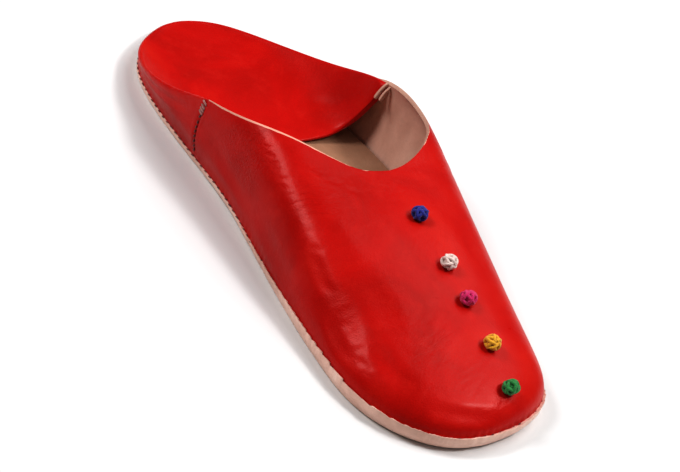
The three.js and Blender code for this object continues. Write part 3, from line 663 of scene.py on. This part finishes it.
print("back creased:", len(BACK_CREASES), "creases,", len(back_piece.data.vertices), "points")

# %% Folds of the lining
lining = side_of(vamp, FLESH)
LINING_FOLDS = ((45, 28), (45.5, 18), (45, 8), (43, -3), (38, -12))
for x, y in LINING_FOLDS:
    press(vamp, lining, [(x - 1.5, y, 31), (x, y + 2, 20), (x - 2, y - 1, 8)], 0.25, 2.4)
print("lining folds:", len(LINING_FOLDS))

# %% Side seam grooves
INNER, OUTER = -1, 1
SEAM_TOPS, SEAM_LOW = {INNER: 32.6, OUTER: 34.4}, 5.5  # mm above the floor


def seam_path(side):
    """The line of a side seam just outside the skin, from the top edge down to the sole, in mm."""
    x, y = SEAM_INNER if side == INNER else SEAM_OUTER
    top = SEAM_TOPS[side]
    return [(x + side * 3, y, top + (SEAM_LOW - top) * n / 8) for n in range(9)]


for side in (INNER, OUTER):
    for piece in (vamp, back_piece):
        press(piece, back_skin, seam_path(side), 0.55, 0.9, ridge=0.5, ends=0.15)
print("side seams pressed, from", SEAM_TOPS, "mm down to", SEAM_LOW)

# %% [markdown]
# ## Puckers at the sole
# A hand-sewn upper gathers a little between its stitches. The gathers are a wave along the line where
# the upper meets the sole. Whole numbers of slower waves shift and swell it, so that no two gathers
# are alike and the line still closes at the toe. A bump in the finish would not show against the
# sole's pale edge, so the gathers are real.

# %% Puckers
UNEVEN_SHIFT, SHIFTS_ROUND = 1.6, 13  # radians, and times round the shoe
UNEVEN_DEPTH, SWELLS_ROUND = 0.3, 29  # of the depth, and times round the shoe


def pucker(piece, line, spacing, depth, reach):
    """Small gathers along a closed line on the shoe, fading out at reach mm from it."""
    points = evenly(line, gap=0.8)
    steps = np.linalg.norm(np.diff(points, axis=0), axis=1)
    run = np.concatenate([[0], np.cumsum(steps)])
    waves = round(run[-1] / spacing)
    places = places_of(piece)
    low = np.where(places[:, 2] < points[:, 2].max() + reach)[0]
    gaps = np.linalg.norm(places[low, None] - points[None], axis=2)
    nearest, gap = gaps.argmin(1), gaps.min(1)
    turn = 2 * np.pi * run[nearest] / run[-1]
    sway = np.cos(turn * waves + UNEVEN_SHIFT * np.sin(turn * SHIFTS_ROUND))
    sway *= 1 - UNEVEN_DEPTH + UNEVEN_DEPTH * np.sin(turn * SWELLS_ROUND)
    amount = depth * np.clip(1 - gap / reach, 0, 1) ** 1.5 * sway
    outward = points[nearest] - points.mean(0)
    outward[:, 2] = 0
    outward /= np.linalg.norm(outward, axis=1)[:, None]
    places[low] += amount[:, None] * outward
    put_places(piece, places)


STITCH_GAP = 3.6  # mm
for piece in (vamp, back_piece):
    pucker(piece, foot_line, STITCH_GAP, 0.22, 5.0)
print("puckers every", STITCH_GAP, "mm")

# %% The pale line at the throat
FAR = 9.0  # mm: beyond this the finish needs no distance


def store_gaps(piece, gaps):
    """Stores a distance in mm at each point, for the finish to read."""
    field = piece.data.attributes.new("edge_gap", "FLOAT", "POINT")
    field.data.foreach_set("value", gaps.astype(np.float32))


def gaps_to(piece, line):
    """How far each point is from a line, in mm."""
    places = places_of(piece)
    points = evenly(line, gap=0.6)
    gaps = np.full(len(places), FAR)
    for part in np.array_split(around(places, points, FAR), 12):  # in parts, to spare memory
        nearest = np.linalg.norm(places[part, None] - points[None], axis=2).min(1)
        gaps[part] = np.minimum(FAR, nearest)
    return gaps


store_gaps(vamp, gaps_to(vamp, throat_line))
store_gaps(back_piece, np.full(len(back_piece.data.vertices), FAR))
print("throat line marked along", len(throat_line), "points")

# %% Smooth shading
CORNER = math.radians(50)  # an edge that bends more than this stays sharp


def shaded(piece):
    """Smooth shading that leaves real corners sharp."""
    work_on(piece)
    bpy.ops.object.shade_smooth_by_angle(angle=CORNER)


for piece in (vamp, back_piece):
    shaded(piece)
    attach(piece, "root")
    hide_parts("upper")
print("upper finished as", vamp.name, "and", back_piece.name)

# %% [markdown]
# ## Seam tabs
# At the top of the outer seam the two skins are turned inwards, and their raw ends stand in the
# opening as two short tan tabs with a dark slit between them. A tab is a small block, drawn long and
# thin, with its upper end narrowed, a slight bow and rounded edges. Folding the real skins inwards
# would need a finer mesh there, and only the ends show.

# %% Seam tabs
TAB_TAPER, TAB_BOW = 0.35, 0.5  # of its width; mm


def seam_tab(name, low_end, high_end, width, thick):
    """A rounded strip of leather between two places in mm."""
    low_end, high_end = Vector(low_end), Vector(high_end)
    way = high_end - low_end
    bpy.ops.object.select_all(action="DESELECT")
    bpy.ops.mesh.primitive_cube_add(size=1)
    tab = bpy.context.object
    tab.name = name
    bpy.ops.object.mode_set(mode="EDIT")
    bpy.ops.transform.resize(value=(thick, width, way.length))
    bpy.ops.mesh.subdivide(number_cuts=2)
    bpy.ops.mesh.select_all(action="DESELECT")
    bpy.ops.object.mode_set(mode="OBJECT")
    for point in tab.data.vertices:
        share = point.co.z / way.length + 0.5
        point.co.y *= 1.0 - TAB_TAPER * share
        point.co.x += TAB_BOW * math.sin(share * math.pi)
    smoothed(tab, 2)
    turn = way.to_track_quat("Z", "Y").to_matrix().to_4x4()
    tab.data.transform(Matrix.Scale(MM, 4) @ Matrix.Translation((low_end + high_end) / 2) @ turn)
    tab.data.materials.append(flesh_side)
    shaded(tab)
    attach(tab, "root")
    print(name, "is", round(way.length, 1), "mm long")


seam_tab("seam_tab_back", (40.6, 38.9, 26.6), (44.6, 38.9, 33.8), 2.0, 1.1)
seam_tab("seam_tab_front", (41.2, 36.4, 27.2), (44.8, 36.6, 33.6), 1.9, 1.1)

# %% [markdown]
# ## Sole and insole
# The sole is one thick piece of undyed leather, cupped up a little round its edge and cut by hand, so
# its edge waves. The insole is a thinner tan leather, and its edge curls up where it meets the wall.
# Both are copies of the model's plates, with their corners rounded and their edges lifted, because
# plates drawn again from an outline would drift from the model's shape.

# %% Cupped edge
CUP_LOW, CUP_RISE = 0.4, 2.0  # mm above the floor where the cup starts, and grows to its full size
CUP_LEAST = 0.25  # of its full size, at the heel
CUP_BACK, CUP_RUN = 10, 60  # mm: it grows from here on, over this length towards the toe


def cup(piece, line, up_by, out_by, inset=0.0, reach=0.9):
    """Lifts and spreads a piece's edge, which is inset mm inside the foot line, most at the toe."""
    points = evenly(line, gap=0.8)
    middle = points.mean(0)
    places = places_of(piece)
    gaps = np.linalg.norm(places[:, None, :2] - points[None, :, :2], axis=2)
    nearest = gaps.argmin(1)
    outward = points[nearest] - middle
    outward[:, 2] = 0
    outward /= np.linalg.norm(outward, axis=1)[:, None]
    beyond = ((places - points[nearest]) * outward).sum(1)
    share = np.clip(1 + (beyond + inset) / reach, 0, 1)
    share *= np.clip((places[:, 2] - CUP_LOW) / CUP_RISE, 0, 1)
    toward_toe = np.clip((CUP_BACK - places[:, 1]) / CUP_RUN, 0, 1)
    share *= CUP_LEAST + (1 - CUP_LEAST) * toward_toe
    places += share[:, None] * (outward * out_by + np.array([0, 0, up_by]))
    put_places(piece, places)


# %% Sole and insole
PLATE_CORNER = math.radians(40)  # an edge sharper than this is a corner
CORNER_CRISPNESS = 0.75


def plate(node, name, stuff, times):
    """A copied plate, smoothed with its corners nearly kept, and finished."""
    piece = copy_of(node, name)
    work_on(piece)
    bpy.ops.object.mode_set(mode="EDIT")
    bpy.ops.mesh.select_mode(type="EDGE")
    bpy.ops.mesh.edges_select_sharp(sharpness=PLATE_CORNER)
    bpy.ops.transform.edge_crease(value=CORNER_CRISPNESS)
    bpy.ops.mesh.select_all(action="DESELECT")
    bpy.ops.object.mode_set(mode="OBJECT")
    piece.data.materials.append(stuff)
    smoothed(piece, times)
    shaded(piece)
    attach(piece, "root")
    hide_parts(node)
    return piece


sole_leather = bare_leather(
    "sole_leather", (0.72, 0.42, 0.32), (0.90, 0.58, 0.47), (0.96, 0.70, 0.59), nap=0.6)
insole_leather = bare_leather(
    "insole_leather", (0.27, 0.125, 0.062), (0.36, 0.18, 0.10), (0.43, 0.235, 0.145))
sole = plate("outsole", "sole", sole_leather, 3)
insole = plate("insole", "insole_sheet", insole_leather, 2)
cup(sole, foot_line, 1.8, 1.3)
cup(insole, foot_line, 3.0, 0.9, inset=2.6, reach=4.0)
pucker(sole, foot_line, 5.1, 0.24, 4.5)
pucker(sole, foot_line, 17.0, 0.25, 7.0)
print("sole and insole faces:", len(sole.data.polygons), len(insole.data.polygons))

# %% [markdown]
# ## Stitches
# The upper is sewn to the sole by hand, with a dark waxed thread that shows as a short slanted stitch
# every few millimetres. The side seams are closed with the same thread, and with a few pale turns at
# the top, where they take the strain. A dark dashed line in the finish would be lighter, but real
# thread catches the light and hides a little of the sole's edge. One stitch is modelled, with few
# faces, and copied.

# %% Thread finish
def thread(name, dark, light):
    """Dyed cotton: matt, with a fine twist and fuzz."""
    cotton = finish(name, Roughness=0.85, Sheen_Weight=0.3, Sheen_Roughness=0.5)
    fuzz = clouds(cotton, 0.35, detail=3, rough=0.7)
    twist = clouds(cotton, (0.9, 0.22, 0.22), detail=2, turn=(30, 20, 40))
    shade = sums(cotton, "MULTIPLY", fuzz, sums(cotton, "ADD", twist, 0.5))
    join(cotton, Base_Color=tint(cotton, shade, (0.3, dark), (0.62, light)),
         Normal=relief(cotton, twist, 0.12, relief(cotton, fuzz, 0.05)))
    return cotton


dark_thread = thread("dark_thread", (0.05, 0.006, 0.005), (0.20, 0.022, 0.016))
pale_thread = thread("pale_thread", (0.20, 0.06, 0.055), (0.52, 0.24, 0.21))
print("threads:", dark_thread.name, pale_thread.name)

# %% One stitch
STITCH_SIDES, STITCH_BEVEL = 6, 0.16  # mm, on a stitch 1 mm long and 1 mm thick
bpy.ops.object.select_all(action="DESELECT")
bpy.ops.mesh.primitive_cylinder_add(vertices=STITCH_SIDES, radius=0.5 * MM, depth=1 * MM,
                                    rotation=(0, math.pi / 2, 0))
stitch = bpy.context.object
bpy.ops.object.transform_apply(rotation=True)
bpy.ops.object.mode_set(mode="EDIT")
bpy.ops.mesh.select_all(action="SELECT")
bpy.ops.mesh.bevel(offset=STITCH_BEVEL * MM, segments=1)
bpy.ops.mesh.select_all(action="DESELECT")
bpy.ops.object.mode_set(mode="OBJECT")
print("one stitch has", len(stitch.data.polygons), "faces")


def sew(name, stitches, stuff):
    """Copies the stitch to each (place, along, out, length, thickness) and joins the copies."""
    copies = []
    for place, along, out, length, thick in stitches:
        along = Vector(along).normalized()
        out = (Vector(out) - along * Vector(out).dot(along)).normalized()
        turn = Matrix((along, out, along.cross(out))).transposed().to_4x4()
        one = bpy.data.objects.new(name, stitch.data.copy())
        one.data.transform(Matrix.Translation(Vector(place) * MM) @ turn
                           @ Matrix.Diagonal((length, thick, thick, 1)))
        bpy.context.scene.collection.objects.link(one)
        copies.append(one)
    bpy.ops.object.select_all(action="DESELECT")
    for one in copies:
        one.select_set(True)
    bpy.context.view_layer.objects.active = copies[0]
    bpy.ops.object.join()
    row = bpy.context.object
    row.data.materials.append(stuff)
    bpy.ops.object.shade_smooth()
    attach(row, "root")
    print(name, "has", len(stitches), "stitches")


# %% Sole stitches
UP = Vector((0, 0, 1))
dice = random.Random(21)
seam_spots = evenly(foot_line, gap=STITCH_GAP)
stitches = []
for n in range(len(seam_spots) - 1):
    here, there = Vector(seam_spots[n]), Vector(seam_spots[n + 1])
    along = (there - here).normalized()
    out = along.cross(UP) * (1 if along.cross(UP).dot(here) > 0 else -1)
    slant = UP * dice.uniform(-0.5, -0.1)
    stitches.append((here + out * 0.12 + UP * dice.uniform(0.0, 0.35), along + slant, out,
                     dice.uniform(1.5, 2.3), dice.uniform(0.5, 0.75)))
sew("sole_stitches", stitches, dark_thread)

# %% Side seam stitches
TACKS, TACKS_TOP, TACK_GAP = 4, 0.8, 1.55  # how many, and mm below the top edge
RUNS, RUNS_TOP, RUN_GAP = 9, 7.6, 2.5


def spot_below(drop, depth):
    """The first point of a seam that is depth mm or more below its top, or else its last."""
    return next(i for i, d in enumerate(drop) if d >= min(depth, drop[-1]))


for side, name in ((INNER, "inner"), (OUTER, "outer")):
    line, outward = laid_on(back_skin, seam_path(side), gap=0.5)
    drop = [line[0][2] - p[2] for p in line]
    tacks, runs = [], []
    for n in range(TACKS):
        spot = spot_below(drop, TACKS_TOP + TACK_GAP * n)
        tacks.append((line[spot] + outward[spot] * 0.2, (0, 1, 0.25), outward[spot], 2.9, 1.05))
    for n in range(RUNS):
        spot = spot_below(drop, RUNS_TOP + RUN_GAP * n)
        way = (0, 0.15 * (-1) ** n, -1)
        runs.append((line[spot] + outward[spot] * 0.02, way, outward[spot], 1.35, 0.85))
    sew(name + "_bar_tack", tacks, pale_thread)
    sew(name + "_seam_stitches", runs, dark_thread)
bpy.data.objects.remove(stitch)

# %% [markdown]
# ## Thread knots
# Each knot is a thick twisted thread wound over and under itself into a little ball. One thread is
# laid along a path that swings up and down as it goes round, given its thickness, and turned into a
# mesh. A bumpy ball would be simpler, but the crossing threads show at its outline. A smooth ball
# inside closes the gaps between them. The knot is then copied to the five places, each copy with its
# own mesh, colour and turn.

# %% One knot
KNOT_RADIUS, WEAVE, THREAD = 2.75, 0.28, 0.72  # mm: the ball, over and under, the thread's half
TURNS, SWINGS, STEPS = 4, 5, 150
TIP = 1.25  # radians that the thread swings up and down


def knot_path():
    """The thread's way round the ball: it goes round and round while it swings up and down."""
    points = []
    for step in range(STEPS):
        t = 2 * math.pi * step / STEPS
        tip = TIP * math.sin(SWINGS * t)
        out = KNOT_RADIUS + WEAVE * math.cos(SWINGS * 2 * t + 0.6)
        points.append((out * math.cos(tip) * math.cos(TURNS * t),
                       out * math.cos(tip) * math.sin(TURNS * t), out * math.sin(tip)))
    return points


bpy.ops.object.select_all(action="DESELECT")
bpy.ops.curve.primitive_nurbs_path_add()
wound = bpy.context.object
wound.data.splines.clear()
spline = wound.data.splines.new("POLY")
path = knot_path()
spline.points.add(len(path) - 1)
for point, spot in zip(spline.points, path):
    point.co = (*(v * MM for v in spot), 1)
spline.use_cyclic_u = True
wound.data.bevel_depth = THREAD * MM
wound.data.bevel_resolution = 3
work_on(wound)
bpy.ops.object.convert(target="MESH")
bpy.ops.mesh.primitive_uv_sphere_add(segments=24, ring_count=12, radius=(KNOT_RADIUS - 0.3) * MM)
wound.select_set(True)
bpy.context.view_layer.objects.active = wound
bpy.ops.object.join()
print("one knot has", len(wound.data.polygons), "faces")

# %% Five knots
SINK = 0.9  # mm that a knot is pulled into the leather
DYES = (  # the dark and the light of each thread, in the order of COLOURS
    ((0.004, 0.006, 0.11), (0.012, 0.022, 0.30)),
    ((0.50, 0.36, 0.32), (0.90, 0.74, 0.68)),
    ((0.36, 0.003, 0.06), (0.72, 0.012, 0.17)),
    ((0.50, 0.22, 0.005), (0.88, 0.48, 0.02)),
    ((0.006, 0.10, 0.018), (0.025, 0.30, 0.06)),
)
wound_size = 2 * (KNOT_RADIUS + WEAVE + THREAD) * MM
for turn, (colour, (dark, light)) in enumerate(zip(COLOURS, DYES)):
    low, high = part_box("pompom_" + colour)
    knot = bpy.data.objects.new(colour + "_knot", wound.data.copy())
    bpy.context.scene.collection.objects.link(knot)
    size = [(high[i] - low[i]) / wound_size for i in range(3)]
    skin_spot, skin_way, *_ = vamp_skin.find_nearest((low + high) / 2)
    seat = skin_spot + skin_way * ((high.z - low.z) / 2 - SINK * MM)
    knot.data.transform(Matrix.Translation(seat) @ Matrix.Diagonal((*size, 1))
                        @ Matrix.Rotation(turn * 1.3, 4, "X") @ Matrix.Rotation(turn * 0.9, 4, "Z"))
    knot.data.materials.append(thread(colour + "_thread", dark, light))
    work_on(knot)
    bpy.ops.object.shade_smooth()
    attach(knot, "root")
    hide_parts("pompom_" + colour)
bpy.data.objects.remove(wound)
print("knots:", COLOURS)

# %% [markdown]
# ## Size and finish
# The looks must not change the slipper's size, so the box round all that is drawn is printed.

# %% Size and finish
low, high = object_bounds()
print("visual box in mm:", [round(v / MM, 1) for v in (*low, *high)])
